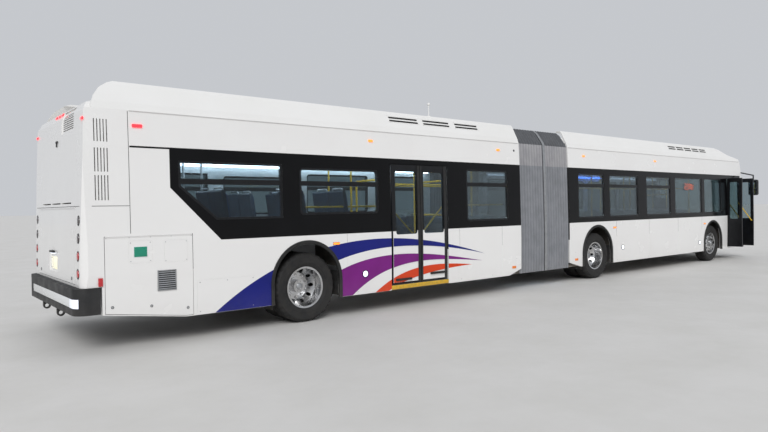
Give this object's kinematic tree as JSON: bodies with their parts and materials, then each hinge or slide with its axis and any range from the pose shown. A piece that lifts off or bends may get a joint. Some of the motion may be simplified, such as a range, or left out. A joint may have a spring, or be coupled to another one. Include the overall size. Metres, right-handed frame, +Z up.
{
  "type": "articulated city bus",
  "caption": "Low-floor articulated city bus with a pleated joint, turning wheels, steering, two-leaf doors, boarding ramp and opening service panels.",
  "frame": {"origin": "on the ground under the middle of the bus's length and width", "axes": "+X towards the front of the bus, +Y towards the driver's side, +Z up"},
  "size_m": [18.53, 3.38, 3.441],
  "materials": {
    "white_paint": "gloss paint",
    "black_trim": "satin black",
    "window_glass": "tinted",
    "floor_cover": "flecked",
    "seat_cover": "woven",
    "yellow_tube": "powder coat",
    "chassis_black": "satin",
    "bellows_fabric": "coated fabric",
    "hoop_metal": "brushed",
    "tyre": "tread",
    "wheel_metal": "polished",
    "grey_plastic": "moulded",
    "cast_parts": "painted",
    "roof_unit_white": "satin"
  },
  "bodies": {
    "front_section": {"front_wall_right": "white_paint", "front_wall_left": "white_paint", "front_roof": "white_paint", "front_fairings": "white_paint", "front_cap": "white_paint", "front_bumper": "black_trim", "front_window_frames": "black_trim", "front_window_glass": "window_glass", "front_floor": "floor_cover", "front_seats": "seat_cover", "front_handrails": "yellow_tube", "front_axle": "chassis_black", "middle_axle": "chassis_black", "front_bellows": "bellows_fabric", "dashboard": "grey_plastic", "mirrors": "black_trim", "front_roof_units": "roof_unit_white"},
    "rear_section": {"rear_wall_right": "white_paint", "rear_wall_left": "white_paint", "rear_roof": "white_paint", "rear_fairings": "white_paint", "rear_cap": "white_paint", "rear_bumper": "black_trim", "rear_window_frames": "black_trim", "rear_window_glass": "window_glass", "rear_floor": "floor_cover", "rear_seats": "seat_cover", "rear_handrails": "yellow_tube", "rear_axle": "chassis_black", "rear_bellows": "bellows_fabric", "engine": "cast_parts", "rear_roof_units": "roof_unit_white"},
    "hoop": {"centre_hoop": "hoop_metal", "turntable": "floor_cover"},
    "steering_wheel": {"steering_wheel": "black_trim"},
    "ramp": {"ramp": "floor_cover"},
    "engine_door": {"engine_door": "white_paint"},
    "service_door_left": {"service_door_left": "white_paint"},
    "knuckle_left": {"knuckle_left": "chassis_black"},
    "front_wheel_left": {"front_tyre_left": "tyre", "front_rim_left": "wheel_metal"},
    "middle_wheels_left": {"middle_tyres_left": "tyre", "middle_rims_left": "wheel_metal"},
    "rear_wheels_left": {"rear_tyres_left": "tyre", "rear_rims_left": "wheel_metal"},
    "service_door_right": {"service_door_right": "white_paint"},
    "knuckle_right": {"knuckle_right": "chassis_black"},
    "front_wheel_right": {"front_tyre_right": "tyre", "front_rim_right": "wheel_metal"},
    "middle_wheels_right": {"middle_tyres_right": "tyre", "middle_rims_right": "wheel_metal"},
    "rear_wheels_right": {"rear_tyres_right": "tyre", "rear_rims_right": "wheel_metal"},
    "rear_door_rear_leaf": {"rear_door_rear_leaf": "black_trim"},
    "rear_door_front_leaf": {"rear_door_front_leaf": "black_trim"},
    "front_door_rear_leaf": {"front_door_rear_leaf": "black_trim"},
    "front_door_front_leaf": {"front_door_front_leaf": "black_trim"}
  },
  "joints": [
    {"name": "articulation", "type": "hinge", "parent": "front_section", "child": "rear_section", "pos_m": [-0.565, 0, 0.3], "axis": [0, 0, 1], "range_deg": [-50, 50], "deforming": ["front_bellows", "rear_bellows"]},
    {"name": "hoop_turn", "type": "hinge", "parent": "front_section", "child": "hoop", "pos_m": [-0.565, 0, 0.3], "axis": [0, 0, 1], "range_deg": [-25, 25]},
    {"name": "steer_left", "type": "hinge", "parent": "front_section", "child": "knuckle_left", "pos_m": [7.085, 0.975, 0.5], "axis": [0, 0, 1], "range_deg": [-45, 45]},
    {"name": "front_roll_left", "type": "hinge", "parent": "knuckle_left", "child": "front_wheel_left", "pos_m": [7.085, 1.09, 0.5], "axis": [0, 1, 0], "continuous": true},
    {"name": "middle_roll_left", "type": "hinge", "parent": "front_section", "child": "middle_wheels_left", "pos_m": [1.3, 0.9275, 0.5], "axis": [0, 1, 0], "continuous": true},
    {"name": "rear_roll_left", "type": "hinge", "parent": "rear_section", "child": "rear_wheels_left", "pos_m": [-6.19, 0.9275, 0.5], "axis": [0, 1, 0], "continuous": true},
    {"name": "steer_right", "type": "hinge", "parent": "front_section", "child": "knuckle_right", "pos_m": [7.085, -0.975, 0.5], "axis": [0, 0, 1], "range_deg": [-45, 45]},
    {"name": "front_roll_right", "type": "hinge", "parent": "knuckle_right", "child": "front_wheel_right", "pos_m": [7.085, -1.09, 0.5], "axis": [0, 1, 0], "continuous": true},
    {"name": "middle_roll_right", "type": "hinge", "parent": "front_section", "child": "middle_wheels_right", "pos_m": [1.3, -0.9275, 0.5], "axis": [0, 1, 0], "continuous": true},
    {"name": "rear_roll_right", "type": "hinge", "parent": "rear_section", "child": "rear_wheels_right", "pos_m": [-6.19, -0.9275, 0.5], "axis": [0, 1, 0], "continuous": true},
    {"name": "steering_wheel_turn", "type": "hinge", "parent": "front_section", "child": "steering_wheel", "pos_m": [8.56, 0.64, 1.18], "axis": [-0.4763, 0, 0.8793], "range_deg": [-900, 900]},
    {"name": "rear_door_rear_hinge", "type": "hinge", "parent": "rear_section", "child": "rear_door_rear_leaf", "pos_m": [-4.595, -1.272, 0.395], "axis": [0, 0, -1], "range_deg": [0, 90]},
    {"name": "rear_door_front_hinge", "type": "hinge", "parent": "rear_section", "child": "rear_door_front_leaf", "pos_m": [-3.375, -1.272, 0.395], "axis": [0, 0, 1], "range_deg": [0, 90]},
    {"name": "front_door_rear_hinge", "type": "hinge", "parent": "front_section", "child": "front_door_rear_leaf", "pos_m": [8.06, -1.272, 0.36], "axis": [0, 0, -1], "range_deg": [-90, 0]},
    {"name": "front_door_front_hinge", "type": "hinge", "parent": "front_section", "child": "front_door_front_leaf", "pos_m": [8.88, -1.272, 0.36], "axis": [0, 0, 1], "range_deg": [-90, 0]},
    {"name": "ramp_hinge", "type": "hinge", "parent": "front_section", "child": "ramp", "pos_m": [8.47, -1.225, 0.378], "axis": [1, 0, 0], "range_deg": [0, 205]},
    {"name": "engine_door_hinge", "type": "hinge", "parent": "rear_section", "child": "engine_door", "pos_m": [-9.173, 0, 1.687], "axis": [0, 1, 0], "range_deg": [0, 85]},
    {"name": "service_door_right_hinge", "type": "hinge", "parent": "rear_section", "child": "service_door_right", "pos_m": [-8.4125, -1.3, 1.342], "axis": [-1, 0, 0], "range_deg": [0, 80]},
    {"name": "service_door_left_hinge", "type": "hinge", "parent": "rear_section", "child": "service_door_left", "pos_m": [-8.4125, 1.3, 1.342], "axis": [1, 0, 0], "range_deg": [0, 80]}
  ],
  "couplings": [
    {"joint": "hoop_turn", "follows": "articulation", "ratio": 0.5},
    {"joint": "steer_right", "follows": "steer_left", "ratio": 1},
    {"joint": "steering_wheel_turn", "follows": "steer_left", "ratio": 20},
    {"joint": "rear_door_front_hinge", "follows": "rear_door_rear_hinge", "ratio": 1},
    {"joint": "front_door_front_hinge", "follows": "front_door_rear_hinge", "ratio": 1}
  ]
}
